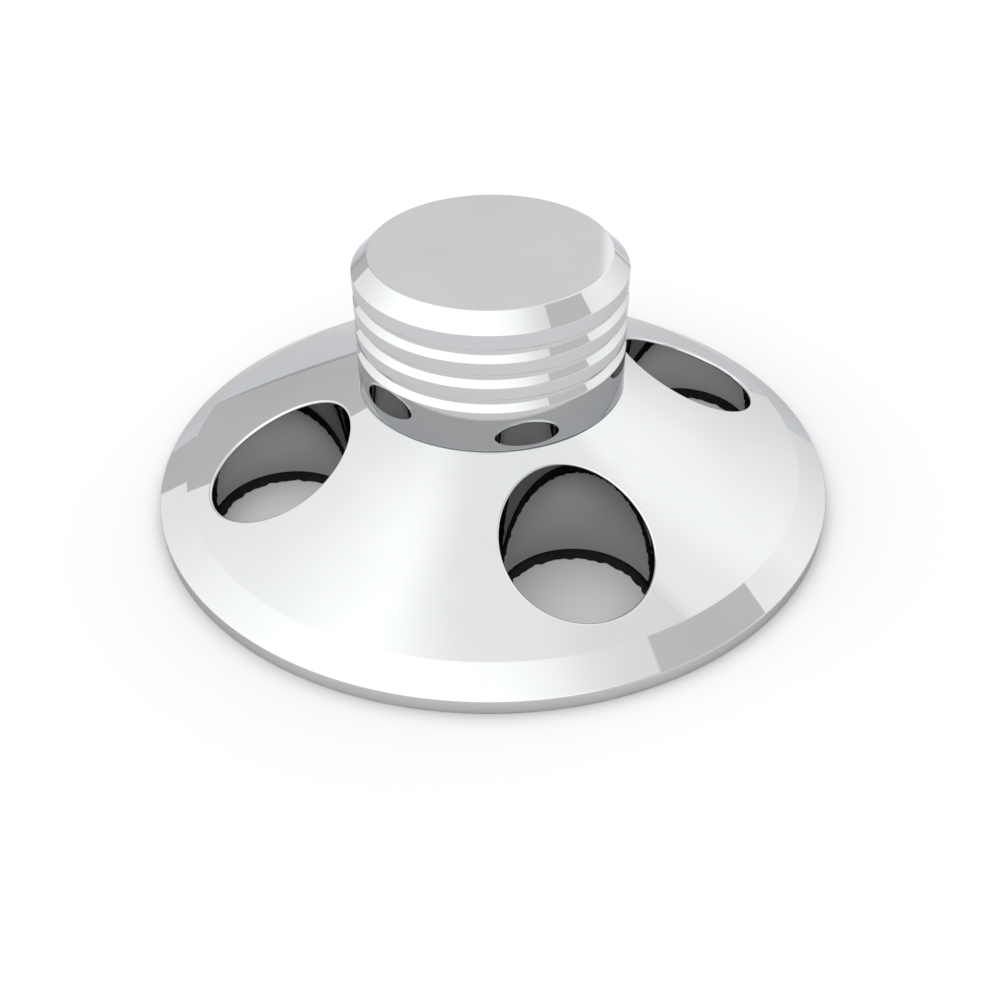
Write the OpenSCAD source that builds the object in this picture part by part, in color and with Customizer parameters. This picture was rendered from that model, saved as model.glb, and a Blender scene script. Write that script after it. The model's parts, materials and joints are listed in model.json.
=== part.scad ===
// Flush pendent fire sprinkler head, lying on its mounting face with the outlet side up.
// Z = 0 is the face that meets the ceiling plate, and +Z is the way the water leaves.

/* [Escutcheon flange] */
// Outside diameter of the flange
flange_d = 80; // [78:0.5:90]
// Height of the vertical rim
rim_h = 1.75; // [1:0.05:2.5]
// Diameter of the edge between the rim bevel and the cone
cone_d = 73.2; // [72:0.1:76]
// Height of the edge between the rim bevel and the cone
cone_z = 3.88; // [3:0.01:5]
// Height of the flat land that the heat collector stands on
land_z = 14.43; // [14.2:0.01:15]
// Depth of the recess under the flange
recess_depth = 1; // [0.4:0.1:1.2]
// Width of the foot ring that meets the ceiling
foot_w = 2.4; // [1.5:0.1:3]
// Number of vent bores
vent_count = 4; // [3:1:4]
// Diameter of each vent bore
vent_d = 16.4; // [10:0.1:17]
// Pitch circle diameter of the vent bores
vent_pitch_d = 51.4; // [50:0.1:54]
// Radius that breaks the outer edges
edge_r = 0.2; // [0.05:0.05:0.3]

/* [Heat collector] */
// Outside diameter of the skirt and the fins
collector_d = 30.76; // [30.2:0.02:31.4]
// Overall height of the head
head_h = 30.77; // [30.5:0.01:32]
// Height of the plain skirt under the first groove
skirt_h = 5.07; // [4.5:0.01:5.5]
// Number of grooves between the fins
groove_count = 3; // [1:1:3]
// Distance from one groove to the next
groove_pitch = 3.05; // [2.9:0.01:3.15]
// Height of the plain band on each fin
fin_band = 1.5; // [1.2:0.05:1.6]
// Depth of each groove, and width of the bevel under it
groove_depth = 0.65; // [0.3:0.05:0.8]
// Width of the bevel round the flat top
top_bevel = 1.85; // [1:0.05:2.2]
// Thickness of the flat top
top_wall = 1.5; // [1.2:0.05:1.6]
// Inside diameter of the collector
collector_bore_d = 26.6; // [26.5:0.05:26.8]

/* [Inlet] */
// Wall diameter of the 3/8 inch parallel inlet thread
inlet_d = 14.95; // [14.9:0.01:15.2]
// Length of the inlet thread
inlet_length = 6.9; // [6:0.1:6.9]
// Diameter of the discharge orifice
orifice_d = 9.4; // [9.2:0.1:9.5]

/* [Release mechanism] */
// Outside diameter of the frame barrel
barrel_d = 26; // [25.9:0.05:26]
// Diameter of the deflector plate
deflector_d = 22; // [20:0.1:22.2]
// Diameter of the guide pins
guide_pin_d = 1.6; // [1.2:0.1:1.6]
// Radial clearance of a guide pin in the guide ring
guide_clearance = 0.05; // [0.02:0.01:0.1]
// Diameter of the link core
core_d = 4; // [3.6:0.1:4]
// Width of each lever
lever_w = 6; // [5:0.1:6]
// Thickness of each lever
lever_t = 1.5; // [1.2:0.1:1.5]

/* [Hidden] */

$fn = 120;
overlap = 1;
slip = 0.1;

// Radii of the small edge breaks on turned pieces
fine_edge = 0.2;
soft_edge = 0.3;
round_edge = 0.5;

flange_r = flange_d / 2;
collector_r = collector_d / 2;
vent_pitch_r = vent_pitch_d / 2;

// Stack of the inlet body, from the mounting face up
counterbore_r = 14.2;
hub_r = 16.4;
ledge_z = 5.2;
gasket_z = 4.4;
body_flange_z = 2.4;
body_flange_r = 14;
body_r = 12.2;
body_top_z = 12.5;
lock_ring_z = 0.4;
barrel_r = barrel_d / 2;
barrel_seat_r = barrel_r + slip;
barrel_bore_r = 11.4;
barrel_bottom_z = 5.4;
barrel_top_z = 21.8;

// Waterway
inlet_r = inlet_d / 2;
clip_groove_r = 8;
strainer_z = inlet_length + 0.7;
web_z = 8.2;
web_bore_r = 5.2;
seat_r = 6;
seat_z = 9;
seat_lip_z = 12.9;
orifice_r = orifice_d / 2;
o_ring_r = 0.4;
o_ring_z = 10.3;

// Guide pins and the ring that stops them
guide_pitch_r = 10;
guide_pin_r = guide_pin_d / 2;
guide_head_r = 1.05;
guide_head_h = 0.8;
guide_chamber_r = 1.15;
guide_chamber_z = 1.1;
guide_foot_z = 1.4;
guide_ring_t = 1;
guide_ring_z = body_top_z;
guide_ring_bore_r = 7;
barrel_step_z = guide_ring_z + guide_ring_t;

// Valve and deflector
spring_top_z = 13.7;
valve_r = 6.6;
deflector_z = 14.9;
deflector_t = 1;
deflector_top_z = deflector_z + deflector_t;
deflector_r = deflector_d / 2;
stem_r = 2.4;
washer_r = 4;
stem_top_z = 16.5;
screw_r = 1.2;
screw_head_z = 17;
screw_top_z = 17.9;

// Link core, levers and the fusible cylinder
insulator_r = 2.2;
insulator_top_z = 18.5;
core_r = core_d / 2;
core_flange_r = 3.2;
lever_z = 19.3;
lever_top_z = lever_z + lever_t;
core_top_z = 27.2;
pivot_x = 11.75;
pivot_z = lever_z + lever_t / 2;
pivot_pin_r = 0.45;
pivot_clearance = 0.03;
core_clearance = 0.15;
knuckle_r = 0.85;
pivot_pin_length = 8.4;
lever_gap = 0.4;
tip_h = 0.5;
tip_inner_r = 2.35;
tip_outer_r = 3;
cylinder_bore_r = 3.2;
cylinder_r = 4.3;
cylinder_z = 20.9;
cylinder_roof_z = 27.6;
cylinder_top_z = 28.2;
boss_r = 6.5;
boss_z = 25.5;
nut_z = 24.3;
alloy_z = 23;
alloy_top_z = 27;

// Heat collector
skirt_top_z = land_z + skirt_h;
ceiling_z = head_h - top_wall;
groove_h = groove_pitch - fin_band;

// Points of the arc that rounds the corner at b, between its neighbours a and c
function round_corner(a, b, c, r, steps = 4) =
    let (
        u = (a - b) / norm(a - b),
        v = (c - b) / norm(c - b),
        half = acos(u * v) / 2,
        centre = b + (u + v) / norm(u + v) * r / sin(half),
        first = b + u * r / tan(half) - centre,
        last = b + v * r / tan(half) - centre,
        start = atan2(first.y, first.x),
        turn = (atan2(last.y, last.x) - start + 540) % 360 - 180
    )
    [for (i = [0:steps]) centre + r * [cos(start + turn * i / steps), sin(start + turn * i / steps)]];

// Outline from [x, y, corner radius] points, in order
function rounded_outline(p) = [
    for (i = [0:len(p) - 1])
        let (
            a = p[(i + len(p) - 1) % len(p)],
            b = p[i],
            c = p[(i + 1) % len(p)]
        )
        each b[2] > 0
            ? round_corner([a.x, a.y], [b.x, b.y], [c.x, c.y], b[2])
            : [[b.x, b.y]]
];

// A flat ring from radius r1 to r2, between heights z1 and z2
module ring(r1, r2, z1, z2) {
    rotate_extrude()
        translate([r1, z1])
            square([r2 - r1, z2 - z1]);
}

// A cylinder between heights z1 and z2
module post(r, z1, z2) {
    translate([0, 0, z1])
        cylinder(r = r, h = z2 - z1);
}

// Solid escutcheon: bevelled rim, cone, recessed underside and a stepped bore for the body
module escutcheon_flange() {
    color("silver")
        difference() {
            rotate_extrude($fn = 240)
                polygon(rounded_outline([
                    [counterbore_r, 0, 0],
                    [hub_r, 0, edge_r],
                    [hub_r, recess_depth, 0],
                    [flange_r - foot_w, recess_depth, 0],
                    [flange_r - foot_w, 0, edge_r],
                    [flange_r, 0, edge_r],
                    [flange_r, rim_h, edge_r],
                    [cone_d / 2, cone_z, edge_r],
                    [collector_r + slip, land_z, edge_r / 2],
                    [barrel_seat_r, land_z, 0],
                    [barrel_seat_r, ledge_z, 0],
                    [counterbore_r, ledge_z, 0]
                ]));
            at_vents()
                vent_bore();
        }
}

// Places its children on the axis of each vent bore
module at_vents() {
    for (i = [0:vent_count - 1])
        rotate([0, 0, i * 360 / vent_count - 90])
            translate([vent_pitch_r, 0, 0])
                children();
}

// One vent bore with its lower edge broken
module vent_bore() {
    break_w = 0.2;
    post(vent_d / 2, -overlap, land_z);
    translate([0, 0, recess_depth - break_w])
        cylinder(r1 = vent_d / 2 + 2 * break_w, r2 = vent_d / 2, h = 2 * break_w);
}

// Foam seal in the recess under the flange, with a hole under each vent bore
module ceiling_seal() {
    vent_lap = 0.3;
    color("black")
        difference() {
            ring(hub_r + slip, flange_r - foot_w - slip, slip, recess_depth);
            at_vents()
                post(vent_d / 2 - vent_lap, -overlap, land_z);
        }
}

// Threaded ring that holds the body up in the flange, with four spanner slots
module lock_ring() {
    slot_w = 2;
    slot_depth = 1;
    slot_count = 4;
    color("gainsboro")
        difference() {
            ring(body_r + slip, counterbore_r, lock_ring_z, body_flange_z);
            for (i = [0:slot_count - 1])
                rotate([0, 0, i * 360 / slot_count + 45])
                    translate([body_r - overlap, -slot_w / 2, lock_ring_z - overlap])
                        cube([counterbore_r - body_r + 2 * overlap, slot_w, slot_depth + overlap]);
        }
}

// Fibre gasket between the body and the flange
module body_gasket() {
    color("firebrick")
        ring(body_r + slip, body_flange_r, gasket_z, ledge_z);
}

// Brass body with the inlet thread, the seat bore and two guide pin chambers
module inlet_body() {
    color("goldenrod")
        difference() {
            rotate_extrude()
                polygon(rounded_outline([
                    [inlet_r, 0, round_edge],
                    [body_r, 0, soft_edge],
                    [body_r, body_flange_z, 0],
                    [body_flange_r, body_flange_z, 0],
                    [body_flange_r, gasket_z, 0],
                    [body_r, gasket_z, 0],
                    [body_r, body_top_z, 0],
                    [seat_r, body_top_z, 0],
                    [seat_r, seat_z, 0],
                    [web_bore_r, seat_z, 0],
                    [web_bore_r, web_z, 0],
                    [inlet_r, web_z, 0],
                    [inlet_r, strainer_z, 0],
                    [clip_groove_r, strainer_z, 0],
                    [clip_groove_r, inlet_length, 0],
                    [inlet_r, inlet_length, 0]
                ]));
            at_guide_pins()
                post(guide_chamber_r, guide_chamber_z, body_top_z + overlap);
        }
}

// Places its children on the axis of each guide pin
module at_guide_pins() {
    for (side = [-1, 1])
        translate([0, side * guide_pitch_r, 0])
            children();
}

// Perforated disc against the web of the body
module inlet_strainer() {
    hole_r = 0.55;
    hole_pitch = 1.75;
    ring_count = 3;
    first_ring = 6;
    color("lightsteelblue")
        difference() {
            post(inlet_r - slip / 2, strainer_z, web_z);
            post(hole_r, strainer_z - overlap, web_z + overlap, $fn = 24);
            for (k = [1:ring_count])
                for (i = [0:first_ring * k - 1])
                    rotate([0, 0, i * 360 / (first_ring * k)])
                        translate([k * hole_pitch, 0, 0])
                            post(hole_r, strainer_z - overlap, web_z + overlap, $fn = 24);
        }
}

// Snap ring that holds the strainer in its groove
module strainer_clip() {
    gap_w = 3;
    inner_r = 6.6;
    color("dimgray")
        difference() {
            ring(inner_r, clip_groove_r - slip, inlet_length + slip / 2, strainer_z);
            translate([0, -gap_w / 2, 0])
                cube([clip_groove_r + overlap, gap_w, web_z]);
        }
}

// Orifice insert with a raised seat lip and an O-ring groove
module seat_insert() {
    lip_outer_r = 5.3;
    groove_r = seat_r - 2 * o_ring_r;
    color("lightgray")
        rotate_extrude()
            polygon(rounded_outline([
                [orifice_r, seat_z, round_edge],
                [seat_r, seat_z, 0],
                [seat_r, o_ring_z - o_ring_r, 0],
                [groove_r, o_ring_z - o_ring_r, 0],
                [groove_r, o_ring_z + o_ring_r, 0],
                [seat_r, o_ring_z + o_ring_r, 0],
                [seat_r, body_top_z, 0],
                [lip_outer_r, body_top_z, 0],
                [lip_outer_r, seat_lip_z, 0],
                [orifice_r, seat_lip_z, 0]
            ]));
}

// O-ring in the groove of the orifice insert
module seat_o_ring() {
    color("black")
        translate([0, 0, o_ring_z])
            rotate_extrude()
                translate([seat_r - o_ring_r, 0])
                    circle(r = o_ring_r, $fn = 32);
}

// Plate that guides the pins and stops their heads
module guide_ring() {
    color("goldenrod")
        difference() {
            ring(guide_ring_bore_r, body_r, guide_ring_z, guide_ring_z + guide_ring_t);
            at_guide_pins()
                post(guide_pin_r + guide_clearance, 0, deflector_z, $fn = 48);
        }
}

// Tube that carries the lever pivots, screwed over the body
module frame_barrel() {
    window_w = lever_w + 0.6;
    window_z = lever_z - 0.4;
    window_depth = 4;
    color("goldenrod")
        difference() {
            rotate_extrude()
                polygon(rounded_outline([
                    [body_r, barrel_bottom_z, 0],
                    [barrel_r, barrel_bottom_z, fine_edge],
                    [barrel_r, barrel_top_z, soft_edge],
                    [barrel_bore_r, barrel_top_z, fine_edge],
                    [barrel_bore_r, barrel_step_z, 0],
                    [body_r, barrel_step_z, 0]
                ]));
            for (side = [0, 180])
                rotate([0, 0, side])
                    translate([pivot_x - window_depth / 2, -window_w / 2, window_z])
                        cube([window_depth, window_w, barrel_top_z]);
            at_pivots()
                pivot_axle(pivot_pin_r, pivot_pin_length);
        }
}

// Places its children at both lever pivots
module at_pivots() {
    for (side = [0, 180])
        rotate([0, 0, side])
            translate([pivot_x, 0, pivot_z])
                children();
}

// A round bar along Y, centred on the origin
module pivot_axle(r, length) {
    rotate([90, 0, 0])
        cylinder(r = r, h = length, center = true, $fn = 48);
}

// The two hinge pins of the levers
module lever_pivot_pins() {
    color("gray")
        at_pivots()
            pivot_axle(pivot_pin_r, pivot_pin_length);
}

// Valve cap: pilot in the orifice, disc over the spring, stem through the deflector
module valve_cap() {
    pilot_r = orifice_r - 0.3;
    pilot_z = 11.6;
    color("goldenrod")
        rotate_extrude()
            polygon(rounded_outline([
                [0, pilot_z, 0],
                [pilot_r, pilot_z, round_edge],
                [pilot_r, spring_top_z, 0],
                [valve_r, spring_top_z, fine_edge],
                [valve_r, deflector_z, soft_edge],
                [stem_r, deflector_z, 0],
                [stem_r, stem_top_z, fine_edge],
                [screw_r, stem_top_z, 0],
                [screw_r, deflector_z, 0],
                [0, deflector_z, 0]
            ]));
}

// Coned sealing washer between the seat lip and the valve cap
module disc_spring() {
    foot_r = orifice_r + 0.1;
    lip_r = 6.4;
    flat_w = 0.4;
    thickness = 0.3;
    color("white")
        rotate_extrude()
            polygon([
                [foot_r, seat_lip_z],
                [foot_r + flat_w, seat_lip_z],
                [lip_r, spring_top_z - thickness],
                [lip_r, spring_top_z],
                [lip_r - flat_w, spring_top_z],
                [foot_r, seat_lip_z + thickness]
            ]);
}

// Toothed plate that spreads the water, notched where the levers swing past
module deflector() {
    notch_x = 7.8;
    notch_w = lever_w + 1.6;
    slot_r = 7.2;
    slot_w = 1.2;
    slot_step = 14;
    color("goldenrod")
        difference() {
            post(deflector_r, deflector_z, deflector_top_z);
            post(stem_r, 0, land_z + skirt_h);
            at_guide_pins()
                post(guide_pin_r, 0, land_z + skirt_h, $fn = 48);
            for (side = [0, 180])
                rotate([0, 0, side])
                    translate([notch_x, -notch_w / 2, 0])
                        cube([deflector_r, notch_w, land_z + skirt_h]);
            for (quarter = [45:90:315])
                for (step = [-1:1])
                    rotate([0, 0, quarter + step * slot_step])
                        tine_slot(slot_r, slot_w);
        }
}

// One slot between two tines, with a round inner end
module tine_slot(r, w) {
    translate([r, 0, 0])
        cylinder(d = w, h = land_z + skirt_h, $fn = 32);
    translate([r, -w / 2, 0])
        cube([deflector_r, w, land_z + skirt_h]);
}

// Washer under the rolled edge of the valve stem
module deflector_washer() {
    color("silver")
        ring(stem_r, washer_r, deflector_top_z, stem_top_z - fine_edge);
}

// The two guide pins, riveted to the deflector and stopped by their feet
module guide_pins() {
    rivet_h = 0.6;
    color("silver")
        at_guide_pins()
            rotate_extrude($fn = 48)
                polygon(rounded_outline([
                    [0, guide_foot_z, 0],
                    [guide_head_r, guide_foot_z, fine_edge],
                    [guide_head_r, guide_foot_z + guide_head_h, 0],
                    [guide_pin_r, guide_foot_z + guide_head_h, 0],
                    [guide_pin_r, deflector_top_z, 0],
                    [guide_head_r, deflector_top_z, 0],
                    [guide_head_r, deflector_top_z + rivet_h, soft_edge],
                    [0, deflector_top_z + rivet_h, 0]
                ]));
}

// Slotted screw in the valve stem that loads the disc spring
module compression_screw() {
    head_r = 2;
    slot_w = 0.7;
    slot_depth = 0.4;
    color("gray")
        difference() {
            union() {
                post(screw_r, deflector_z, screw_head_z);
                post(head_r, screw_head_z, screw_top_z);
            }
            translate([-head_r - overlap, -slot_w / 2, screw_top_z - slot_depth])
                cube([2 * (head_r + overlap), slot_w, slot_depth + overlap]);
        }
}

// Ceramic disc that keeps the heat of the core out of the valve
module insulator_disc() {
    color("ivory")
        post(insulator_r, screw_top_z, insulator_top_z);
}

// Headed core that the levers bear on and the fusible alloy grips
module link_core() {
    color("peru")
        rotate_extrude()
            polygon(rounded_outline([
                [0, insulator_top_z, 0],
                [core_flange_r, insulator_top_z, fine_edge],
                [core_flange_r, lever_z, 0],
                [core_r, lever_z, 0],
                [core_r, core_top_z, soft_edge],
                [0, core_top_z, 0]
            ]));
}

// One lever: pivot knuckle, flat arm, half hole round the core and a raised tip
module lever() {
    color("silver")
        difference() {
            union() {
                translate([pivot_x, 0, pivot_z])
                    pivot_axle(knuckle_r, lever_w);
                translate([lever_gap, -lever_w / 2, lever_z])
                    cube([pivot_x - lever_gap, lever_w, lever_t]);
                intersection() {
                    ring(tip_inner_r, tip_outer_r, lever_top_z, lever_top_z + tip_h);
                    translate([lever_gap, -lever_w / 2, lever_z])
                        cube([pivot_x, lever_w, cylinder_r]);
                }
            }
            post(core_r + core_clearance, 0, cylinder_z);
            translate([pivot_x, 0, pivot_z])
                pivot_axle(pivot_pin_r + pivot_clearance, lever_w + 2 * overlap);
        }
}

// Lever on the +X side
module lever_right() {
    lever();
}

// Lever on the -X side
module lever_left() {
    rotate([0, 0, 180])
        lever();
}

// Finned cap with its inner boss
module heat_collector() {
    grooves = [
        for (i = [0:groove_count - 1])
            let (z = skirt_top_z + i * groove_pitch)
            each [
                [collector_r, z, edge_r],
                [collector_r - groove_depth, z + groove_depth, 0],
                [collector_r - groove_depth, z + groove_h, 0],
                [collector_r, z + groove_h, edge_r / 2]
            ]
    ];
    color("silver")
        rotate_extrude($fn = 240)
            polygon(rounded_outline(concat(
                [
                    [collector_bore_d / 2, land_z, 0],
                    [collector_r, land_z, edge_r]
                ],
                grooves,
                [
                    [collector_r, head_h - top_bevel, edge_r],
                    [collector_r - top_bevel, head_h, edge_r],
                    [0, head_h, 0],
                    [0, cylinder_top_z, 0],
                    [cylinder_r, cylinder_top_z, 0],
                    [cylinder_r, boss_z, 0],
                    [boss_r, boss_z, soft_edge],
                    [boss_r, ceiling_z, 2 * soft_edge],
                    [collector_bore_d / 2, ceiling_z, 2 * round_edge]
                ]
            )));
}

// Cylinder that holds the alloy and closes round the lever tips
module fusible_cylinder() {
    color("peru")
        rotate_extrude()
            polygon(rounded_outline([
                [cylinder_bore_r, cylinder_z, 0],
                [cylinder_r, cylinder_z, fine_edge],
                [cylinder_r, cylinder_top_z, 0],
                [0, cylinder_top_z, 0],
                [0, cylinder_roof_z, 0],
                [cylinder_bore_r, cylinder_roof_z, 0]
            ]));
}

// Hexagon nut that clamps the cylinder in the boss
module cylinder_nut() {
    across_flats = 12;
    color("silver")
        difference() {
            translate([0, 0, nut_z])
                cylinder(d = across_flats / cos(30), h = boss_z - nut_z, $fn = 6);
            post(cylinder_r, nut_z - overlap, boss_z + overlap);
        }
}

// Ring of fusible alloy between the core and the cylinder
module fusible_alloy() {
    grip_clearance = 0.03;
    color("darkgray")
        ring(core_r + grip_clearance, cylinder_bore_r, alloy_z, alloy_top_z);
}

escutcheon_flange();
ceiling_seal();
lock_ring();
body_gasket();
inlet_body();
inlet_strainer();
strainer_clip();
seat_insert();
seat_o_ring();
guide_ring();
frame_barrel();
lever_pivot_pins();
valve_cap();
disc_spring();
deflector();
deflector_washer();
guide_pins();
compression_screw();
insulator_disc();
link_core();
lever_right();
lever_left();
heat_collector();
fusible_cylinder();
cylinder_nut();
fusible_alloy();
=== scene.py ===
import json
import math

import bmesh
import bpy
import numpy as np
from mathutils import Matrix, Vector


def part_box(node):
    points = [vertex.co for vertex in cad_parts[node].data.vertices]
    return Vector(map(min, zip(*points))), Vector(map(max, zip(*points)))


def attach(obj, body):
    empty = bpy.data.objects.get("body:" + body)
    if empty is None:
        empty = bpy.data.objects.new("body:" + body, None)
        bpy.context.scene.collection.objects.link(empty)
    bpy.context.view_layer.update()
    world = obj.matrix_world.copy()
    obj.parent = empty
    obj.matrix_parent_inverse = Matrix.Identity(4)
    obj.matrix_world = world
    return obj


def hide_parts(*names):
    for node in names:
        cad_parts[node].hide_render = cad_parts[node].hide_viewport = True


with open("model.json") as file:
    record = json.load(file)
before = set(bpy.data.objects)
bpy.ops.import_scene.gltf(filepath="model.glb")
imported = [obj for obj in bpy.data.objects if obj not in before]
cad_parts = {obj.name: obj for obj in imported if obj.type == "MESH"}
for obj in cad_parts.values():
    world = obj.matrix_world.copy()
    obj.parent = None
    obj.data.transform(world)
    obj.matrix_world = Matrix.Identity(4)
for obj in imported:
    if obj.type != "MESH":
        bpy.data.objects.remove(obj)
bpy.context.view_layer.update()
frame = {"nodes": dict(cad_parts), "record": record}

MM = 0.001

# ---------------------------------------------------------------- dimensions, in millimetres

FLANGE_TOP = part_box("escutcheon_flange")[1]
COLLECTOR_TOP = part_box("heat_collector")[1]

FLANGE_R = round(FLANGE_TOP.x / MM, 1)
LAND_Z = FLANGE_TOP.z / MM
HEAD_H = COLLECTOR_TOP.z / MM
COLLECTOR_R = COLLECTOR_TOP.x / MM
NECK_R = COLLECTOR_R + 0.1

# the flange: a bevelled rim, the cone, a recess under it and the stepped bore of its hub
RIM_H = 1.75
CONE_R = 36.6
CONE_Z = 3.88
CONE_SLOPE = (LAND_Z - CONE_Z) / (CONE_R - NECK_R)
EDGE_R = 0.2
SEAT_EDGE_R = 0.05
RECESS_Z = 1.0
FOOT_W = 2.4
HUB_R = 16.4
COUNTERBORE_R = 14.2
LEDGE_Z = 5.2
BARREL_SEAT_R = 13.1
VENT_COUNT = 4
VENT_R = 8.2
VENT_PITCH_R = 25.7
VENT_EDGE_R = 0.3
VENT_BREAK = 0.2

# the foam seal, its holes narrowest at the foot, and the waves of their edges as (count, depth).
# The seal is made near-black to stand in for the shadow under the flange (painted shadow), and
# the waves copy that shadow's ragged edge
SEAL_GAP = 0.1
SEAL_Z = 0.1
SEAL_TOP_Z = 0.98
SEAL_HOLE_R = 7.9
SEAL_FOOT_R = 7.8
SHADOW_EDGE_LOBES = ((17, 0.08), (29, 0.06), (43, 0.05))

# the heat collector: skirt, grooves between fins, bevelled top, and the boss inside
SKIRT_H = 5.07
GROOVE_COUNT = 3
GROOVE_PITCH = 3.05
FIN_BAND = 1.5
GROOVE_DEPTH = 0.65
GROOVE_ROOT_R = 0.03
TOP_BEVEL = 1.85
BORE_R = 13.3
BORE_EDGE_R = 0.1
CEILING_Z = HEAD_H - 1.5
CEILING_FILLET_R = 1.0
BOSS_R = 6.5
BOSS_Z = 25.5
BOSS_EDGE_R = 0.3
BOSS_ROOT_R = 0.6
CYLINDER_R = 4.3
CYLINDER_TOP_Z = 28.2
CYLINDER_EDGE_R = 0.1

# the inlet thread: its groove is widest at THREAD_INNER_R, and runs out over its last part turn
THREAD_PITCH = 1.337
THREAD_TURNS = 5.6
THREAD_START_Z = -1.3
THREAD_ROOT_R = 8.33
THREAD_INNER_R = 7.3
THREAD_MOUTH_W = 0.656
THREAD_ROOT_W = 0.12
THREAD_RUNOUT_R = 1.1
THREAD_RUNOUT_TURNS = 0.4

# how finely the meshes are cut
TURN_STEPS = 384
ARC_STEPS = TURN_STEPS // VENT_COUNT
SIDE_STEPS = 36
RING_STEPS = 22
RING_GROWTH = 1.4
EDGE_STEPS = 6
WALL_STEPS = 8
UNDER_STEPS = 8
BREAK_STEPS = 4
SEAL_STEPS = 4
THREAD_STEPS = 72
FILLET_STEP = math.radians(9)
FILLET_LEAST_STEPS = 4
MERGE_DISTANCE = 0.0005
THREAD_SHARP_ANGLE = math.radians(28)

# ---------------------------------------------------------------- camera and studio

CAMERA_PLACE = Vector((-45.04, -124.48, 99.045)) * MM
CAMERA_AZIMUTH = math.radians(-20.25)
CAMERA_PITCH = math.radians(37.919)
CAMERA_ROLL = math.radians(-0.496)
CAMERA_LENS = 48.27
SENSOR_WIDTH = 36
CLIP_START = 0.005

# Directions are in degrees. A pair is where a soft edge starts and ends, and a set of four is
# where a band rises and falls. Azimuths count from the camera's forward direction.
SOFTBOX_AZIMUTH = (110, 185, 262, 312)
SOFTBOX_TOP = (66, 84)
DIM_AZIMUTH = (76, 80, 105, 150)
DIM_TOP = (68, 82)
RIGHT_START = (4.7, 5.3)
RIGHT_END = (79.5, 80.5)
RIGHT_END_UNDER_FLAG = (88, 92)
RIGHT_TOP = (50, 62)
RIGHT_RISE = (-5, 42)
SHADE_START = (60, 72)
SHADE_BOTTOM = (22, 38)
WALL_AZIMUTH = (-45.2, -44.8, *RIGHT_START)
WALL_TOP = (45, 55)
WALL_RISE = (-26, -6)
FLAG_BOTTOM = (3, 5)
HORIZON = (-6, -5)
DUSK_BAND = (-3.5, -1.5, -1.2, -0.6)

# brightness levels, where 1 is the white of the picture
OVERHEAD_LEVEL = 1.38
SOFTBOX_LEVEL = 1.84
DIM_LEVEL = 1.20
RIGHT_LEVELS = (1.26, 1.60)
SHADE_SHARE = 0.89
WALL_LEVELS = (0.84, 1.10)
FLAG_LEVEL = 0.86
BACKDROP_LEVEL = 1.03
DUSK_LEVEL = 0.62
DUSK_SHARE = 0.8
LIGHT_COLOUR = (0.995, 1.0, 1.0, 1)

# the flag's corners on a plane one unit above the object, to the right and forward as the
# camera faces
FLAG_LEFT_NEAR = (0.712, -0.386)
FLAG_LEFT_FAR = (0.622, -0.185)
FLAG_RIGHT_NEAR = (1.368, 0.144)
FLAG_RIGHT_FAR = (1.243, 0.305)
FLAG_EDGE = (-0.008, 0.008)
FLAG_FAR_EDGE = (0.03, 0.05)
FLAG_LEAST_HEIGHT = 0.05

# the floor in metres, its colour going from near to far between two distances from its middle
FLOOR_R = 0.26
FLOOR_SIDES = 128
FLOOR_NEAR = (0.706, 0.702, 0.704, 1)
FLOOR_FAR = (0.722, 0.728, 0.772, 1)
FLOOR_TURNS_FAR = (50 * MM, 76 * MM)
FLOOR_ROUGHNESS = 0.9

# ShaderNodeMix holds a pair of inputs and an output for each kind of value
MIX_NUMBERS, MIX_NUMBER = (2, 3), 0
MIX_COLOURS, MIX_COLOUR = (6, 7), 2


def make_camera():
    data = bpy.data.cameras.new("camera")
    data.lens = CAMERA_LENS
    data.sensor_width = SENSOR_WIDTH
    data.clip_start = CLIP_START
    camera = bpy.data.objects.new("camera", data)
    bpy.context.scene.collection.objects.link(camera)
    turn = Matrix.Rotation(CAMERA_AZIMUTH, 4, "Z")
    tilt = Matrix.Rotation(math.pi / 2 - CAMERA_PITCH, 4, "X")
    roll = Matrix.Rotation(CAMERA_ROLL, 4, "Z")
    camera.matrix_world = Matrix.Translation(CAMERA_PLACE) @ turn @ tilt @ roll
    bpy.context.scene.camera = camera


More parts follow.
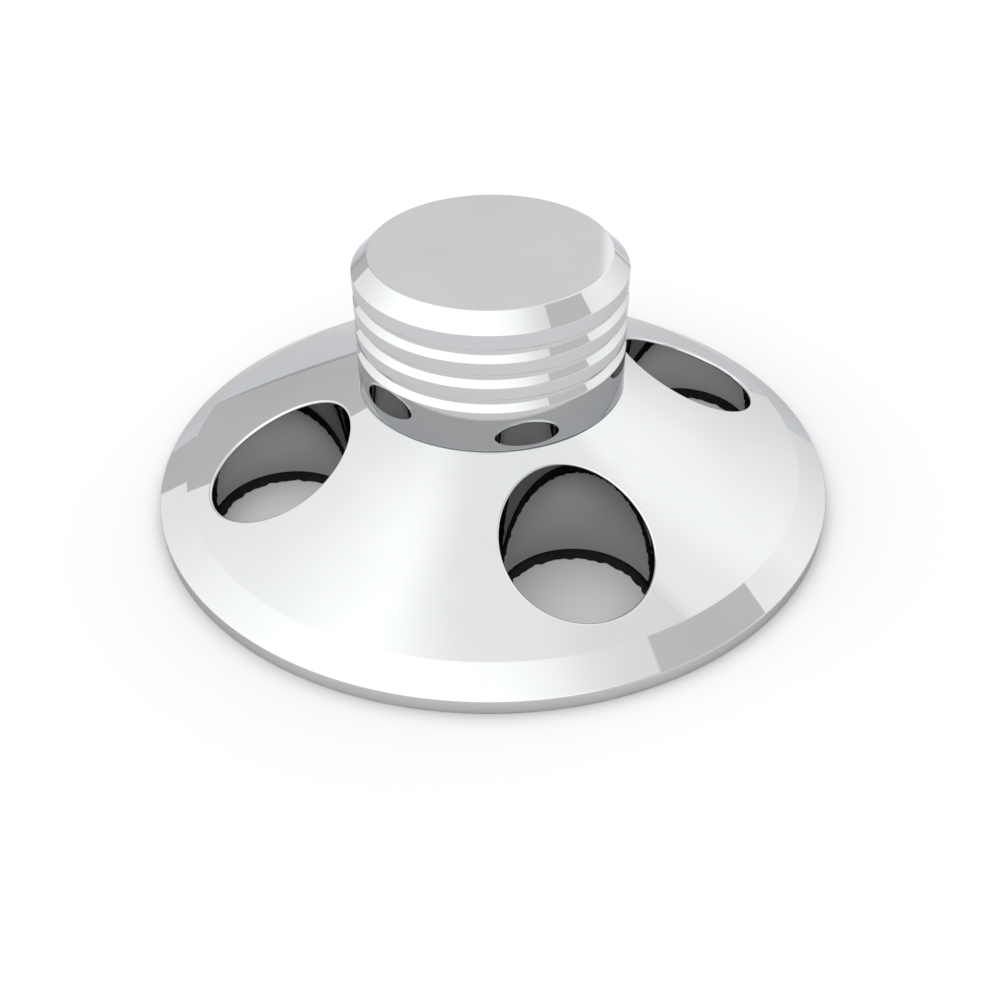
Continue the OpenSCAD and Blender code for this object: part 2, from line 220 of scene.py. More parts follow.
class Graph:
    """A small helper that adds nodes to a tree and links them."""

    def __init__(self, tree):
        self.tree = tree
        self.tree.nodes.clear()

    def add(self, kind, **sockets):
        node = self.tree.nodes.new(kind)
        for name, value in sockets.items():
            self.put(node.inputs[name.replace("_", " ")], value)
        return node

    def put(self, socket, value):
        if isinstance(value, bpy.types.NodeSocket):
            self.tree.links.new(value, socket)
        else:
            socket.default_value = value

    def math(self, operation, *values):
        node = self.tree.nodes.new("ShaderNodeMath")
        node.operation = operation
        for socket, value in zip(node.inputs, values):
            self.put(socket, value)
        return node.outputs[0]

    def step(self, value, low, high):
        """0 below low, 1 above high and a smooth rise between them."""
        node = self.tree.nodes.new("ShaderNodeMapRange")
        node.interpolation_type = "SMOOTHSTEP"
        self.put(node.inputs["Value"], value)
        self.put(node.inputs["From Min"], low)
        self.put(node.inputs["From Max"], high)
        return node.outputs["Result"]

    def fall(self, value, low, high):
        """1 below low, 0 above high and a smooth fall between them."""
        return self.math("SUBTRACT", 1.0, self.step(value, low, high))

    def window(self, value, a, b, c, d):
        """Rises from a to b and falls from c to d."""
        return self.math("MULTIPLY", self.step(value, a, b), self.fall(value, c, d))

    def blend(self, factor, a, b):
        """A number that goes from a to b as factor goes from 0 to 1."""
        node = self.tree.nodes.new("ShaderNodeMix")
        self.put(node.inputs["Factor"], factor)
        for index, value in zip(MIX_NUMBERS, (a, b)):
            self.put(node.inputs[index], value)
        return node.outputs[MIX_NUMBER]

    def ramp(self, value, stops):
        """A colour ramp through stops of (position, colour)."""
        node = self.tree.nodes.new("ShaderNodeValToRGB")
        self.put(node.inputs[0], value)
        elements = node.color_ramp.elements
        while len(elements) < len(stops):
            elements.new(0.5)
        for element, (position, colour) in zip(elements, stops):
            element.position = position
            element.color = (*colour, 1)
        return node.outputs["Color"]

    def side(self, x, y, p, q):
        """Distance of (x, y) to the left of the line from p to q."""
        length = math.hypot(q[0] - p[0], q[1] - p[1])
        a, b = (p[1] - q[1]) / length, (q[0] - p[0]) / length
        distance = self.math("MULTIPLY_ADD", x, a, -a * p[0] - b * p[1])
        return self.math("MULTIPLY_ADD", y, b, distance)

    def span(self, value, low, high, to_low, to_high):
        """Maps low to high evenly onto to_low to to_high."""
        node = self.tree.nodes.new("ShaderNodeMapRange")
        for socket, setting in zip(node.inputs, (value, low, high, to_low, to_high)):
            self.put(socket, setting)
        return node.outputs["Result"]

    def place(self):
        return self.add("ShaderNodeTexCoord").outputs["Object"]

    def noise(self, scale, detail=3.0, stretch=None):
        place = self.place()
        if stretch:
            place = self.add("ShaderNodeMapping", Vector=place, Scale=stretch).outputs[0]
        node = self.add("ShaderNodeTexNoise", Vector=place, Scale=scale, Detail=detail)
        return node.outputs["Fac"]

    def cells(self, scale):
        node = self.add("ShaderNodeTexVoronoi", Vector=self.place(), Scale=scale)
        return node.outputs["Distance"]

    def lathe(self, scale):
        """Noise that changes only across the rings that a lathe tool leaves."""
        xyz = self.add("ShaderNodeSeparateXYZ", Vector=self.place()).outputs
        flat = self.add("ShaderNodeCombineXYZ", X=xyz["X"], Y=xyz["Y"]).outputs[0]
        radius = self.add("ShaderNodeVectorMath", Vector=flat)
        radius.operation = "LENGTH"
        node = self.tree.nodes.new("ShaderNodeTexNoise")
        node.noise_dimensions = "1D"
        self.put(node.inputs["W"], self.math("ADD", radius.outputs["Value"], xyz["Z"]))
        self.put(node.inputs["Scale"], scale)
        self.put(node.inputs["Detail"], 2.0)
        return node.outputs["Fac"]

    def bump(self, height, depth):
        """Relief of the given depth in millimetres."""
        node = self.add("ShaderNodeBump", Height=height, Distance=depth * MM, Strength=1.0)
        return node.outputs["Normal"]

    def mix(self, factor, a, b):
        """A colour that goes from a to b as factor goes from 0 to 1."""
        node = self.tree.nodes.new("ShaderNodeMix")
        node.data_type = "RGBA"
        self.put(node.inputs["Factor"], factor)
        for index, value in zip(MIX_COLOURS, (a, b)):
            self.put(node.inputs[index], value)
        return node.outputs[MIX_COLOUR]


def material(name):
    made = bpy.data.materials.new(name)
    made.use_nodes = True
    return made, Graph(made.node_tree)


def finish_material(g, surface):
    output = g.add("ShaderNodeOutputMaterial")
    g.tree.links.new(surface.outputs[0], output.inputs["Surface"])


def make_world():
    """A soft studio dome. azimuth is positive to the camera's right, and full_turn counts it from
    0 to 360."""
    world = bpy.data.worlds.new("studio")
    bpy.context.scene.world = world
    world.use_nodes = True
    g = Graph(world.node_tree)
    place = g.add("ShaderNodeTexCoord").outputs["Generated"]
    turn = g.add("ShaderNodeVectorRotate", Vector=place, Angle=-CAMERA_AZIMUTH)
    turn.rotation_type = "Z_AXIS"
    xyz = g.add("ShaderNodeSeparateXYZ", Vector=turn.outputs[0]).outputs
    azimuth = g.math("DEGREES", g.math("ARCTAN2", xyz["X"], xyz["Y"]))
    full_turn = g.math("FLOORED_MODULO", azimuth, 360.0)
    elevation = g.math("DEGREES", g.math("ARCSINE", xyz["Z"]))

    # the place where each direction meets the plane of the grey flag, which hangs flat overhead
    height = g.math("MAXIMUM", xyz["Z"], FLAG_LEAST_HEIGHT)
    across = g.math("DIVIDE", xyz["X"], height)
    along = g.math("DIVIDE", xyz["Y"], height)
    from_left_edge = g.side(across, along, FLAG_LEFT_NEAR, FLAG_LEFT_FAR)
    from_right_edge = g.side(across, along, FLAG_RIGHT_NEAR, FLAG_RIGHT_FAR)
    from_far_edge = g.side(across, along, FLAG_LEFT_FAR, FLAG_RIGHT_FAR)

    # the overhead sheet, and the big softbox from the left round to behind the camera
    softbox = g.window(full_turn, *SOFTBOX_AZIMUTH)
    softbox = g.math("MULTIPLY", softbox, g.fall(elevation, *SOFTBOX_TOP))
    level = g.blend(softbox, OVERHEAD_LEVEL, SOFTBOX_LEVEL)
    # the dimmer stretch to the right of the camera
    dim = g.window(full_turn, *DIM_AZIMUTH)
    dim = g.math("MULTIPLY", dim, g.fall(elevation, *DIM_TOP))
    level = g.blend(dim, level, DIM_LEVEL)
    # the softbox on the right, which reaches further round under the flag's right edge
    past_flag = g.fall(from_right_edge, *FLAG_EDGE)
    past_flag = g.math("MULTIPLY", past_flag, g.fall(azimuth, *RIGHT_END_UNDER_FLAG))
    right = g.math("MAXIMUM", g.fall(azimuth, *RIGHT_END), past_flag)
    right = g.math("MULTIPLY", right, g.step(azimuth, *RIGHT_START))
    right = g.math("MULTIPLY", right, g.fall(elevation, *RIGHT_TOP))
    right_level = g.blend(g.step(elevation, *RIGHT_RISE), *RIGHT_LEVELS)
    shade = g.math("MULTIPLY", g.step(azimuth, *SHADE_START), g.step(elevation, *SHADE_BOTTOM))
    shade_share = g.span(shade, 0, 1, 1.0, SHADE_SHARE)
    right_level = g.math("MULTIPLY", right_level, shade_share)
    level = g.blend(right, level, right_level)
    # the grey wall behind
    wall = g.window(azimuth, *WALL_AZIMUTH)
    wall = g.math("MULTIPLY", wall, g.fall(elevation, *WALL_TOP))
    wall_level = g.blend(g.step(azimuth, *WALL_RISE), *WALL_LEVELS)
    level = g.blend(wall, level, wall_level)
    # the flag
    flag = g.fall(from_left_edge, *FLAG_EDGE)
    flag = g.math("MULTIPLY", flag, g.step(from_right_edge, *FLAG_EDGE))
    flag = g.math("MULTIPLY", flag, g.fall(from_far_edge, *FLAG_FAR_EDGE))
    flag = g.math("MULTIPLY", flag, g.step(elevation, *FLAG_BOTTOM))
    level = g.blend(flag, level, FLAG_LEVEL)

    # below the horizon the room's pale floor goes on past the sheet that the object stands on,
    # with a darker band where it ends
    level = g.blend(g.fall(elevation, *HORIZON), level, BACKDROP_LEVEL)
    dusk = g.math("MULTIPLY", g.window(elevation, *DUSK_BAND), DUSK_SHARE)
    level = g.blend(dusk, level, DUSK_LEVEL)
    # the camera itself sees a plain white backdrop
    seen = g.add("ShaderNodeLightPath").outputs["Is Camera Ray"]
    level = g.blend(seen, level, BACKDROP_LEVEL)

    background = g.add("ShaderNodeBackground", Color=LIGHT_COLOUR, Strength=level)
    output = g.add("ShaderNodeOutputWorld")
    g.tree.links.new(background.outputs[0], output.inputs["Surface"])


def make_floor():
    angles = [2 * math.pi * k / FLOOR_SIDES for k in range(FLOOR_SIDES)]
    ring = [(FLOOR_R * math.cos(a), FLOOR_R * math.sin(a), 0) for a in angles]
    mesh = bpy.data.meshes.new("floor")
    mesh.from_pydata(ring, [], [range(FLOOR_SIDES)])
    floor = bpy.data.objects.new("floor", mesh)
    bpy.context.scene.collection.objects.link(floor)
    paper, g = material("floor_paper")
    distance = g.add("ShaderNodeVectorMath", Vector=g.place())
    distance.operation = "LENGTH"
    far = g.step(distance.outputs["Value"], *FLOOR_TURNS_FAR)
    colour = g.mix(far, FLOOR_NEAR, FLOOR_FAR)
    surface = g.add("ShaderNodeBsdfPrincipled", Base_Color=colour, Roughness=FLOOR_ROUGHNESS)
    surface.inputs["Specular IOR Level"].default_value = 0.0
    finish_material(g, surface)
    mesh.materials.append(paper)


# ---------------------------------------------------------------- turned shapes


def fillet_profile(corners, closed=True):
    """An outline of (r, z, fillet radius) corners, listed anticlockwise, as segments of
    (start, start normal, end, end normal)."""
    count = len(corners)
    places = [np.array(c[:2], float) for c in corners]
    runs = []
    for i, corner in enumerate(corners):
        here = places[i]
        if not closed and i in (0, count - 1):
            runs.append([(here, None)])
            continue
        into = here - places[i - 1]
        out = places[(i + 1) % count] - here
        into /= np.linalg.norm(into)
        out /= np.linalg.norm(out)
        radius = corner[2]
        if radius == 0:
            runs.append([(here, None)])
            continue
        turn = math.atan2(into[0] * out[1] - into[1] * out[0], into @ out)
        reach = radius * math.tan(abs(turn) / 2)
        side = math.copysign(1.0, turn)
        start = here - into * reach
        first = np.array((into[1], -into[0]))
        centre = start - first * radius * side
        steps = max(FILLET_LEAST_STEPS, round(abs(turn) / FILLET_STEP))
        run = []
        for k in range(steps + 1):
            a = turn * k / steps
            normal = np.array((first[0] * math.cos(a) - first[1] * math.sin(a),
                               first[0] * math.sin(a) + first[1] * math.cos(a)))
            run.append((centre + normal * radius * side, normal))
        runs.append(run)
    segments = []
    for i, run in enumerate(runs):
        for (p, n), (q, m) in zip(run, run[1:]):
            segments.append((p, n, q, m))
        if i == count - 1 and not closed:
            break
        p = run[-1][0]
        q = runs[(i + 1) % count][0][0]
        along = (q - p) / np.linalg.norm(q - p)
        flat = np.array((along[1], -along[0]))
        segments.append((p, flat, q, flat))
    return segments


def spun(rz, angle):
    """A point or direction (r, z) of an outline, turned round the Z axis."""
    return rz[0] * math.cos(angle), rz[0] * math.sin(angle), rz[1]


class Shell:
    """Collects faces with exact corner normals, joins equal points and makes one object."""

    def __init__(self):
        self.points = []
        self.index = {}
        self.faces = []
        self.normals = []

    def point(self, p):
        key = (round(p[0], 5), round(p[1], 5), round(p[2], 5))
        if key not in self.index:
            self.index[key] = len(self.points)
            self.points.append(p)
        return self.index[key]

    def face(self, corners):
        """corners is a list of (point, normal), anticlockwise seen from outside."""
        used, normals = [], []
        for p, n in corners:
            i = self.point(p)
            if i in used:
                continue
            used.append(i)
            normals.append(n)
        if len(used) >= 3:
            self.faces.append(used)
            self.normals.extend(normals)

    def grid(self, rows):
        """rows of (point, normal) pairs of equal length; faces join each row to the next."""
        for low, high in zip(rows, rows[1:]):
            for j in range(len(low) - 1):
                self.face([low[j], low[j + 1], high[j + 1], high[j]])

    def turned(self, segments, steps):
        """Turns outline segments round the Z axis."""
        angles = [2 * math.pi * (j % steps) / steps for j in range(steps + 1)]
        for p, n, q, m in segments:
            rows = []
            for place, normal in ((p, n), (q, m)):
                rows.append([(spun(place, a), spun(normal, a)) for a in angles])
            self.grid(rows)

    def build(self, name):
        mesh = bpy.data.meshes.new(name)
        places = [(x * MM, y * MM, z * MM) for x, y, z in self.points]
        mesh.from_pydata(places, [], self.faces)
        mesh.shade_smooth()
        mesh.normals_split_custom_set(self.normals)
        obj = bpy.data.objects.new(name, mesh)
        bpy.context.scene.collection.objects.link(obj)
        return obj


# ---------------------------------------------------------------- escutcheon flange and seal


def unit(v):
    v = np.asarray(v, float)
    return v / np.linalg.norm(v)


def cone_height(r):
    return CONE_Z + (CONE_R - r) * CONE_SLOPE


def cone_normal(x, y):
    r = math.hypot(x, y)
    return unit((x / r * CONE_SLOPE, y / r * CONE_SLOPE, 1.0))


def sector_outline(r_in, r_out):
    """Points round one quarter of a ring, anticlockwise seen from above, centred on +X."""
    half = math.pi / VENT_COUNT
    points = []
    for k in range(ARC_STEPS):
        a = -half + 2 * half * k / ARC_STEPS
        points.append((r_out * math.cos(a), r_out * math.sin(a)))
    for k in range(SIDE_STEPS):
        r = r_out + (r_in - r_out) * k / SIDE_STEPS
        points.append((r * math.cos(half), r * math.sin(half)))
    for k in range(ARC_STEPS):
        a = half - 2 * half * k / ARC_STEPS
        points.append((r_in * math.cos(a), r_in * math.sin(a)))
    for k in range(SIDE_STEPS):
        r = r_in + (r_out - r_in) * k / SIDE_STEPS
        points.append((r * math.cos(-half), r * math.sin(-half)))
    return points


def rotated(pair, angle):
    """A (point, normal) pair, turned round the Z axis."""
    (x, y, z), (a, b, c) = pair
    co, si = math.cos(angle), math.sin(angle)
    return (x * co - y * si, x * si + y * co, z), (a * co - b * si, a * si + b * co, c)


def vent_edge(inward, up, edge):
    """The rounded edge between a vent's wall and the cone, as its centre and its normals from
    the wall to the cone."""
    bend = math.acos(inward @ up)
    centre = edge - VENT_EDGE_R * (inward + up) / (1 + inward @ up)
    normals = []
    for s in range(EDGE_STEPS + 1):
        t = s / EDGE_STEPS
        normals.append(unit(inward * math.sin((1 - t) * bend) + up * math.sin(t * bend)))
    return centre, normals


def upper_quarter(shell, outline, angle):
    """A quarter of the cone with its vent: the cone, the vent's rounded edge and its wall."""
    cone, wall = [], []
    arc = [[] for _ in range(EDGE_STEPS + 1)]
    for x, y in [*outline, outline[0]]:
        phi = math.atan2(y, x - VENT_PITCH_R)
        away = np.array((math.cos(phi), math.sin(phi), 0.0))
        ex, ey = VENT_PITCH_R + VENT_R * away[0], VENT_R * away[1]
        edge = np.array((ex, ey, cone_height(math.hypot(ex, ey))))
        inward = -away
        up = cone_normal(ex, ey)
        centre, normals = vent_edge(inward, up, edge)
        for row, normal in zip(arc, normals):
            row.append(rotated((tuple(centre + VENT_EDGE_R * normal), tuple(normal)), angle))

        lip = centre + VENT_EDGE_R * up
        column = []
        for s in range(RING_STEPS + 1):
            t = (s / RING_STEPS) ** RING_GROWTH
            px, py = lip[0] + (x - lip[0]) * t, lip[1] + (y - lip[1]) * t
            z = cone_height(math.hypot(px, py)) if s else lip[2]
            column.append(rotated(((px, py, z), tuple(cone_normal(px, py))), angle))
        cone.append(column)

        wall_top = centre + VENT_EDGE_R * inward
        wall_foot_z = RECESS_Z + VENT_BREAK
        column = [rotated((tuple(wall_top), tuple(inward)), angle)]
        for s in range(1, WALL_STEPS + 1):
            z = wall_top[2] + (wall_foot_z - wall_top[2]) * s / WALL_STEPS
            column.append(rotated(((ex, ey, z), tuple(inward)), angle))
        wall.append(column)
    shell.grid(cone)
    shell.grid(arc[::-1])
    shell.grid([column[::-1] for column in wall])


def lower_quarter(shell, outline, directions, angle):
    """A quarter of the recess round a vent, with the small break at the foot of its wall."""
    flat_r = VENT_R + VENT_BREAK
    rows = []
    for (x, y), (tx, ty) in zip([*outline, outline[0]], [*directions, directions[0]]):
        phi = math.atan2(ty, tx - VENT_PITCH_R)
        away = (math.cos(phi), math.sin(phi))
        column = []
        for s in range(BREAK_STEPS + 1):
            a = math.pi / 2 * s / BREAK_STEPS
            r = flat_r - VENT_BREAK * math.cos(a)
            z = RECESS_Z + VENT_BREAK - VENT_BREAK * math.sin(a)
            normal = (-away[0] * math.cos(a), -away[1] * math.cos(a), -math.sin(a))
            place = (VENT_PITCH_R + r * away[0], r * away[1], z)
            column.append(rotated((place, normal), angle))
        sx, sy = VENT_PITCH_R + flat_r * away[0], flat_r * away[1]
        for s in range(1, UNDER_STEPS + 1):
            t = s / UNDER_STEPS
            place = (sx + (x - sx) * t, sy + (y - sy) * t, RECESS_Z)
            column.append(rotated((place, (0, 0, -1)), angle))
        rows.append(column)
    shell.grid([column[::-1] for column in rows])


def vented_flange():
    shell = Shell()
    # the turned strips: from the recess round the rim to the cone, and from the cone down the
    # bore back to the recess
    outer = fillet_profile([
        (FLANGE_R - FOOT_W, RECESS_Z, 0),
        (FLANGE_R - FOOT_W, 0, EDGE_R),
        (FLANGE_R, 0, EDGE_R),
        (FLANGE_R, RIM_H, EDGE_R),
        (CONE_R, CONE_Z, EDGE_R),
        (NECK_R, LAND_Z, 0),
    ], closed=False)
    inner = fillet_profile([
        (CONE_R, CONE_Z, 0),
        (NECK_R, LAND_Z, EDGE_R / 2),
        (BARREL_SEAT_R, LAND_Z, SEAT_EDGE_R),
        (BARREL_SEAT_R, LEDGE_Z, SEAT_EDGE_R),
        (COUNTERBORE_R, LEDGE_Z, 0),
        (COUNTERBORE_R, 0, EDGE_R),
        (HUB_R, 0, EDGE_R),
        (HUB_R, RECESS_Z, 0),
    ], closed=False)
    shell.turned(outer[:-1], TURN_STEPS)
    shell.turned(inner[1:], TURN_STEPS)
    # the cone and the recess between the strips
    cone_outer_r = outer[-1][0][0]
    cone_inner_r = inner[0][2][0]
    top = sector_outline(cone_inner_r, cone_outer_r)
    bottom = sector_outline(HUB_R, FLANGE_R - FOOT_W)
    for quarter in range(VENT_COUNT):
        angle = 2 * math.pi * quarter / VENT_COUNT
        upper_quarter(shell, top, angle)
        lower_quarter(shell, bottom, top, angle)
    return shell.build("chrome_flange")


def shadow_foam_seal():
    """The foam in the recess, made near-black so that it also stands in for the shadow under the
    flange: painted shadow. The lower edges of its holes wander to copy the ragged edge of that
    shadow.
    """
    shell = Shell()
    r_in = HUB_R + SEAL_GAP
    r_out = FLANGE_R - FOOT_W - SEAL_GAP
    shell.turned([
        ((r_out, SEAL_Z), (1, 0), (r_out, SEAL_TOP_Z), (1, 0)),
        ((r_in, SEAL_TOP_Z), (-1, 0), (r_in, SEAL_Z), (-1, 0)),
    ], TURN_STEPS)
    outline = sector_outline(r_in, r_out)
    up, down = (0.0, 0.0, 1.0), (0.0, 0.0, -1.0)
    for quarter in range(VENT_COUNT):
        angle = 2 * math.pi * quarter / VENT_COUNT
        top_rows, low_rows = [], []
        for x, y in [*outline, outline[0]]:
            phi = math.atan2(y, x - VENT_PITCH_R)
            # painted shadow: this wander copies the ragged edge of the shadow under the flange
            ragged = sum(depth * math.sin(count * (phi + quarter)) for count, depth in SHADOW_EDGE_LOBES)
            inward = (-math.cos(phi), -math.sin(phi), 0.0)

            def hole(r, z, normal):
                return rotated(((VENT_PITCH_R - r * inward[0], -r * inward[1], z), normal), angle)

            top_edge = rotated(((x, y, SEAL_TOP_Z), up), angle)
            low_edge = rotated(((x, y, SEAL_Z), down), angle)
            top_rows.append([hole(SEAL_HOLE_R, SEAL_TOP_Z, up), top_edge])
            column = [low_edge, hole(SEAL_FOOT_R + ragged, SEAL_Z, down)]
            for s in range(SEAL_STEPS + 1):
                t = s / SEAL_STEPS
                r = SEAL_FOOT_R + ragged + (SEAL_HOLE_R - SEAL_FOOT_R - ragged) * t * t
                column.append(hole(r, SEAL_Z + (SEAL_TOP_Z - SEAL_Z) * t, inward))
            low_rows.append(column)
        shell.grid(top_rows)
        shell.grid(low_rows)
    return shell.build("shadow_foam_seal")


# ---------------------------------------------------------------- threaded body and collector


def thread_cutter():
    """A closed helical bar with a thread groove's section, which runs out at its upper end."""
    section = [
        (THREAD_INNER_R, -THREAD_MOUTH_W),
        (THREAD_ROOT_R, -THREAD_ROOT_W),
        (THREAD_ROOT_R, THREAD_ROOT_W),
        (THREAD_INNER_R, THREAD_MOUTH_W),
    ]
    mesh = bmesh.new()
    rings = []
    for k in range(round(THREAD_STEPS * THREAD_TURNS) + 1):
        turn = k / THREAD_STEPS
        angle = 2 * math.pi * turn
        runout = THREAD_RUNOUT_R * (1 - min(1.0, (THREAD_TURNS - turn) / THREAD_RUNOUT_TURNS))
        z = THREAD_START_Z + THREAD_PITCH * turn
        ring = []
        for r, dz in section:
            across = r - runout
            ring.append(mesh.verts.new((
                across * math.cos(angle) * MM, across * math.sin(angle) * MM, (z + dz) * MM)))
        rings.append(ring)
    for a, b in zip(rings, rings[1:]):
        for j in range(4):
            mesh.faces.new((a[j], a[(j + 1) % 4], b[(j + 1) % 4], b[j]))
    mesh.faces.new(rings[0])
    mesh.faces.new(rings[-1])
    bmesh.ops.recalc_face_normals(mesh, faces=mesh.faces)
    data = bpy.data.meshes.new("thread_cutter")
    mesh.to_mesh(data)
    mesh.free()
    return bpy.data.objects.new("thread_cutter", data)


def threaded_body():
    """The inlet body of the CAD with the thread really cut."""
    plain = frame["nodes"]["inlet_body"].data.copy()
    mesh = bmesh.new()
    mesh.from_mesh(plain)
    bmesh.ops.remove_doubles(mesh, verts=mesh.verts, dist=MERGE_DISTANCE * MM)
    mesh.to_mesh(plain)
    mesh.free()
    body = bpy.data.objects.new("threaded_body", plain)
    cutter = thread_cutter()
    for obj in (body, cutter):
        bpy.context.scene.collection.objects.link(obj)
    cut = body.modifiers.new("thread", "BOOLEAN")
    cut.object = cutter
    cut.operation = "DIFFERENCE"
    cut.solver = "EXACT"
    finished = body.evaluated_get(bpy.context.evaluated_depsgraph_get())
    made = bpy.data.meshes.new_from_object(finished)
    body.modifiers.clear()
    body.data = made
    made.materials.clear()
    made.shade_smooth()
    made.set_sharp_from_angle(angle=THREAD_SHARP_ANGLE)
    bpy.data.objects.remove(cutter)
    return body


def finned_collector():
    skirt_top_z = LAND_Z + SKIRT_H
    corners = [(BORE_R, LAND_Z, BORE_EDGE_R), (COLLECTOR_R, LAND_Z, EDGE_R)]
    for i in range(GROOVE_COUNT):
        z = skirt_top_z + i * GROOVE_PITCH
        groove_top = z + GROOVE_PITCH - FIN_BAND
        corners += [
            (COLLECTOR_R, z, EDGE_R),
            (COLLECTOR_R - GROOVE_DEPTH, z + GROOVE_DEPTH, GROOVE_ROOT_R),
            (COLLECTOR_R - GROOVE_DEPTH, groove_top, GROOVE_ROOT_R),
            (COLLECTOR_R, groove_top, EDGE_R / 2),
        ]
    corners += [
        (COLLECTOR_R, HEAD_H - TOP_BEVEL, EDGE_R),
        (COLLECTOR_R - TOP_BEVEL, HEAD_H, EDGE_R),
        (0, HEAD_H, 0),
        (0, CYLINDER_TOP_Z, 0),
        (CYLINDER_R, CYLINDER_TOP_Z, 0),
        (CYLINDER_R, BOSS_Z, CYLINDER_EDGE_R),
        (BOSS_R, BOSS_Z, BOSS_EDGE_R),
        (BOSS_R, CEILING_Z, BOSS_ROOT_R),
        (BORE_R, CEILING_Z, CEILING_FILLET_R),
    ]
    shell = Shell()
    shell.turned(fillet_profile(corners), TURN_STEPS)
    return shell.build("chrome_collector")


# ---------------------------------------------------------------- materials

CHROME_DARK = (0.545, 0.552, 0.554)
CHROME_LIGHT = (0.570, 0.577, 0.579)
# painted shade: a darker chrome colour for the walls of the vent bores
BORE_SHADE_COLOUR = (0.372, 0.378, 0.379, 1)
CHROME_ROUGHNESS = (0.0, 0.03)
CHROME_EDGE_TINT = (0.75, 0.75, 0.75, 1)
CHROME_CLOUDS = (90.0, 4.0)
BORE_MARGIN = (0.01, 0.06)

# the scale and detail of each noise, and how strongly it shows
METAL_CLOUDS = (220.0, 4.0)
STAINS = (420.0, 6.0)
STAIN_SHARE = 0.55
STAIN_ROUGHNESS = 0.12
MARK_SHARE = 0.22
SOLID_CLOUDS = (300.0, 4.0)
SPECKS = (1900.0, 2.0)
SPECK_SHARE = 0.6
# how strongly painted shade darkens the hollows of a solid's relief
HOLLOW_SHADE_SHARE = 0.25
SOLID_GLOSS_SCALE = 700.0
ROLLED_STRETCH = (0.06, 1.0, 1.0)
RAMP_LOW, RAMP_HIGH = 0.3, 0.7


def polished_chrome():
    made, g = material("polished_chrome")
    cloud = g.noise(*CHROME_CLOUDS)
    colour = g.ramp(cloud, [(RAMP_LOW, CHROME_DARK), (RAMP_HIGH, CHROME_LIGHT)])
    # painted shade: the chrome's colour is darkened inside the vent bores, where little light
    # reaches their walls
    xyz = g.add("ShaderNodeSeparateXYZ", Vector=g.place()).outputs
    x, y = g.math("ABSOLUTE", xyz["X"]), g.math("ABSOLUTE", xyz["Y"])
    along = g.math("SUBTRACT", g.math("MAXIMUM", x, y), VENT_PITCH_R * MM)
    across = g.math("MINIMUM", x, y)
    squares = g.math("ADD", g.math("POWER", along, 2.0), g.math("POWER", across, 2.0))
    low, high = [(VENT_R + margin) * MM for margin in BORE_MARGIN]
    bore_shade = g.fall(g.math("SQRT", squares), low, high)
    colour = g.mix(bore_shade, colour, BORE_SHADE_COLOUR)
    roughness = g.span(cloud, 0.35, 0.75, *CHROME_ROUGHNESS)
    surface = g.add("ShaderNodeBsdfPrincipled", Base_Color=colour, Roughness=roughness)
    surface.inputs["Metallic"].default_value = 1.0
    surface.inputs["Specular Tint"].default_value = CHROME_EDGE_TINT
    finish_material(g, surface)
    return made


def darkened_tone(colour, share):
    return (*[share * c for c in colour], 1)


def worked_metal(
        name, dark, light, stain, rough, grain="lathe", grain_scale=5000.0, depth=0.004):
    """Bare metal: cloudy colour, tool marks in gloss and relief, and tarnish in patches."""
    made, g = material(name)
    if grain == "lathe":
        marks = g.lathe(grain_scale)
    elif grain == "rolled":
        marks = g.noise(grain_scale, 2.0, stretch=ROLLED_STRETCH)
    else:
        marks = g.noise(grain_scale, 4.0)
    colour = g.ramp(g.noise(*METAL_CLOUDS), [(RAMP_LOW, dark), (RAMP_HIGH, light)])
    colour = g.mix(g.span(marks, 0.3, 0.7, 0.0, MARK_SHARE), colour, darkened_tone(dark, 0.6))
    patches = g.step(g.noise(*STAINS), 0.52, 0.72)
    colour = g.mix(g.math("MULTIPLY", patches, STAIN_SHARE), colour, (*stain, 1))
    rough_marks = g.span(marks, 0.25, 0.75, rough * 0.75, rough * 1.2)
    roughness = g.math("MULTIPLY_ADD", patches, STAIN_ROUGHNESS, rough_marks)
    surface = g.add("ShaderNodeBsdfPrincipled", Base_Color=colour, Roughness=roughness,
                    Normal=g.bump(marks, depth))
    surface.inputs["Metallic"].default_value = 1.0
    finish_material(g, surface)
    return made


def dull_solid(name, dark, light, speck, rough, relief, depth, specular):
    """A solid that isn't metal. relief makes its surface height from the graph."""
    made, g = material(name)
    height = relief(g)
    colour = g.ramp(g.noise(*SOLID_CLOUDS), [(RAMP_LOW, dark), (RAMP_HIGH, light)])
    specks = g.step(g.noise(*SPECKS), 0.62, 0.70)
    colour = g.mix(g.math("MULTIPLY", specks, SPECK_SHARE), colour, (*speck, 1))
    # painted shade: the hollows of the relief are made darker
    colour = g.mix(g.span(height, 0.0, 1.0, HOLLOW_SHADE_SHARE, 0.0), colour, darkened_tone(dark, 0.5))
    roughness = g.span(g.noise(SOLID_GLOSS_SCALE), 0.3, 0.7, rough * 0.88, min(1.0, rough * 1.08))
    surface = g.add("ShaderNodeBsdfPrincipled", Base_Color=colour, Roughness=roughness,
                    Normal=g.bump(height, depth))
    surface.inputs["Specular IOR Level"].default_value = specular
    finish_material(g, surface)
    return made


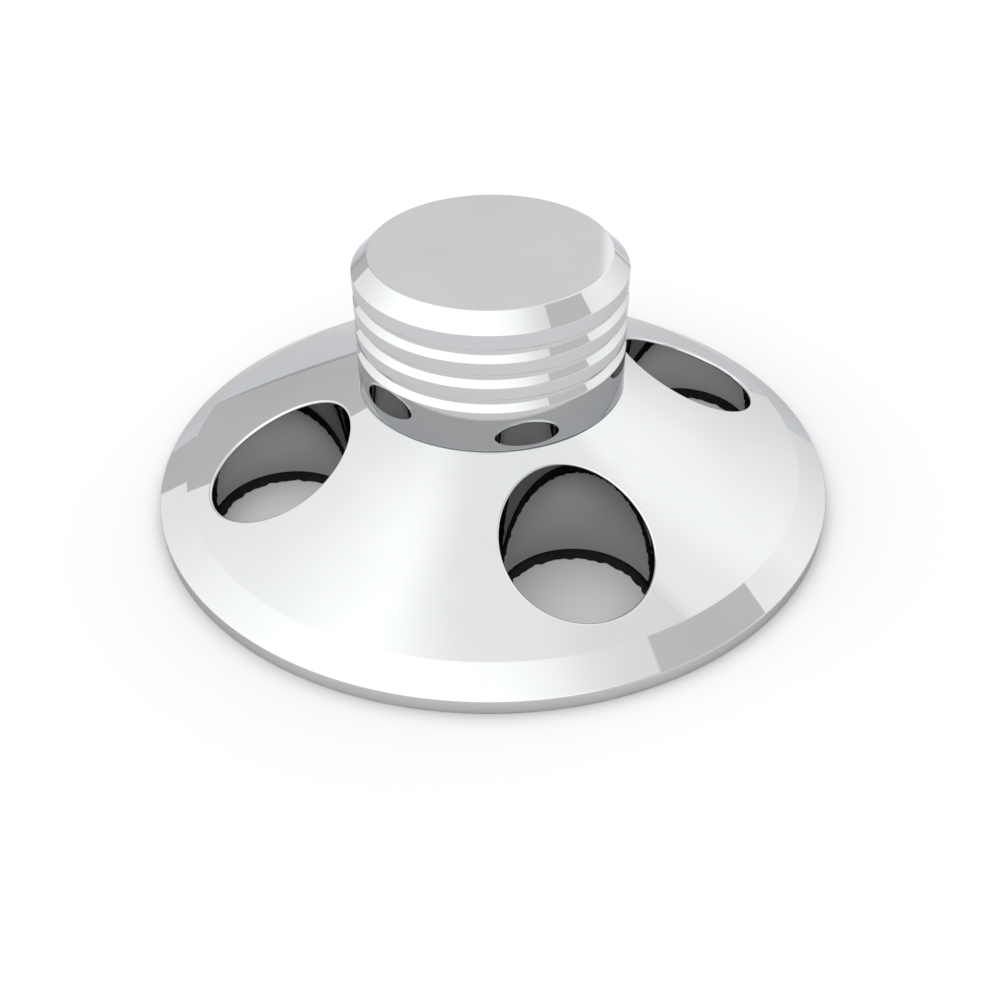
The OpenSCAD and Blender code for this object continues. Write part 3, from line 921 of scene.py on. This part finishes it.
WORKED_METALS = {
    # slot: (dark, light, stain, roughness, other settings)
    "turned_steel": ((0.40, 0.40, 0.39), (0.58, 0.58, 0.57), (0.30, 0.28, 0.26), 0.28, {}),
    "spring_steel": ((0.11, 0.115, 0.13), (0.21, 0.215, 0.235), (0.15, 0.10, 0.06), 0.34,
                     {"depth": 0.002}),
    "stainless_sheet": ((0.50, 0.50, 0.49), (0.64, 0.64, 0.625), (0.40, 0.38, 0.34), 0.26,
                        {"grain": "rolled", "grain_scale": 7000.0, "depth": 0.003}),
    "cast_brass": ((0.56, 0.39, 0.15), (0.76, 0.57, 0.27), (0.36, 0.21, 0.08), 0.24, {}),
    "copper": ((0.62, 0.28, 0.17), (0.83, 0.45, 0.31), (0.32, 0.13, 0.08), 0.25,
               {"grain_scale": 4000.0}),
    "fusible_metal": ((0.30, 0.31, 0.33), (0.46, 0.47, 0.49), (0.22, 0.22, 0.23), 0.50,
                      {"grain": "cast", "grain_scale": 1500.0, "depth": 0.03}),
}

DULL_SOLIDS = {
    # slot: (dark, light, speck, roughness, relief, its depth, specular level)
    "fibre_gasket": ((0.20, 0.045, 0.03), (0.38, 0.10, 0.07), (0.50, 0.20, 0.13), 0.85,
                     lambda g: g.noise(2600.0, 4.0, stretch=(1.0, 0.15, 1.0)), 0.03, 0.25),
    "black_rubber": ((0.012, 0.012, 0.013), (0.026, 0.026, 0.027), (0.05, 0.05, 0.05), 0.55,
                     lambda g: g.noise(3200.0, 3.0), 0.006, 0.4),
    # near-black, so that the seal stands in for the shadow under the flange: painted shadow
    "foam_rubber": ((0.010, 0.010, 0.010), (0.020, 0.020, 0.020), (0.030, 0.030, 0.030), 0.92,
                    lambda g: g.cells(3500.0), 0.06, 0.1),
    "ptfe_coating": ((0.76, 0.76, 0.72), (0.86, 0.86, 0.83), (0.62, 0.61, 0.57), 0.42,
                     lambda g: g.noise(1800.0, 3.0), 0.008, 0.35),
    "ceramic": ((0.74, 0.71, 0.62), (0.84, 0.81, 0.73), (0.48, 0.43, 0.35), 0.72,
                lambda g: g.noise(3000.0, 5.0), 0.015, 0.3),
}


def make_materials():
    made = {"polished_chrome": polished_chrome()}
    for slot, (*settings, others) in WORKED_METALS.items():
        made[slot] = worked_metal(slot, *settings, **others)
    for slot, settings in DULL_SOLIDS.items():
        made[slot] = dull_solid(slot, *settings)
    return made


# ---------------------------------------------------------------- making everything

make_camera()
make_world()
make_floor()
bpy.context.scene.view_settings.view_transform = "Standard"
bpy.context.scene.cycles.caustics_reflective = False

materials = make_materials()
for row in frame["record"]["subparts"]:
    for slot in frame["nodes"][row["node"]].material_slots:
        slot.material = materials[row["material_slot"]]


def stand_for(piece, body, node, slot):
    """Puts a detailed piece in the place of a CAD node."""
    piece.data.materials.append(materials[slot])
    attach(piece, body)
    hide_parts(node)


stand_for(vented_flange(), "frame", "escutcheon_flange", "polished_chrome")
stand_for(shadow_foam_seal(), "frame", "ceiling_seal", "foam_rubber")
stand_for(threaded_body(), "frame", "inlet_body", "cast_brass")
stand_for(finned_collector(), "collector", "heat_collector", "polished_chrome")
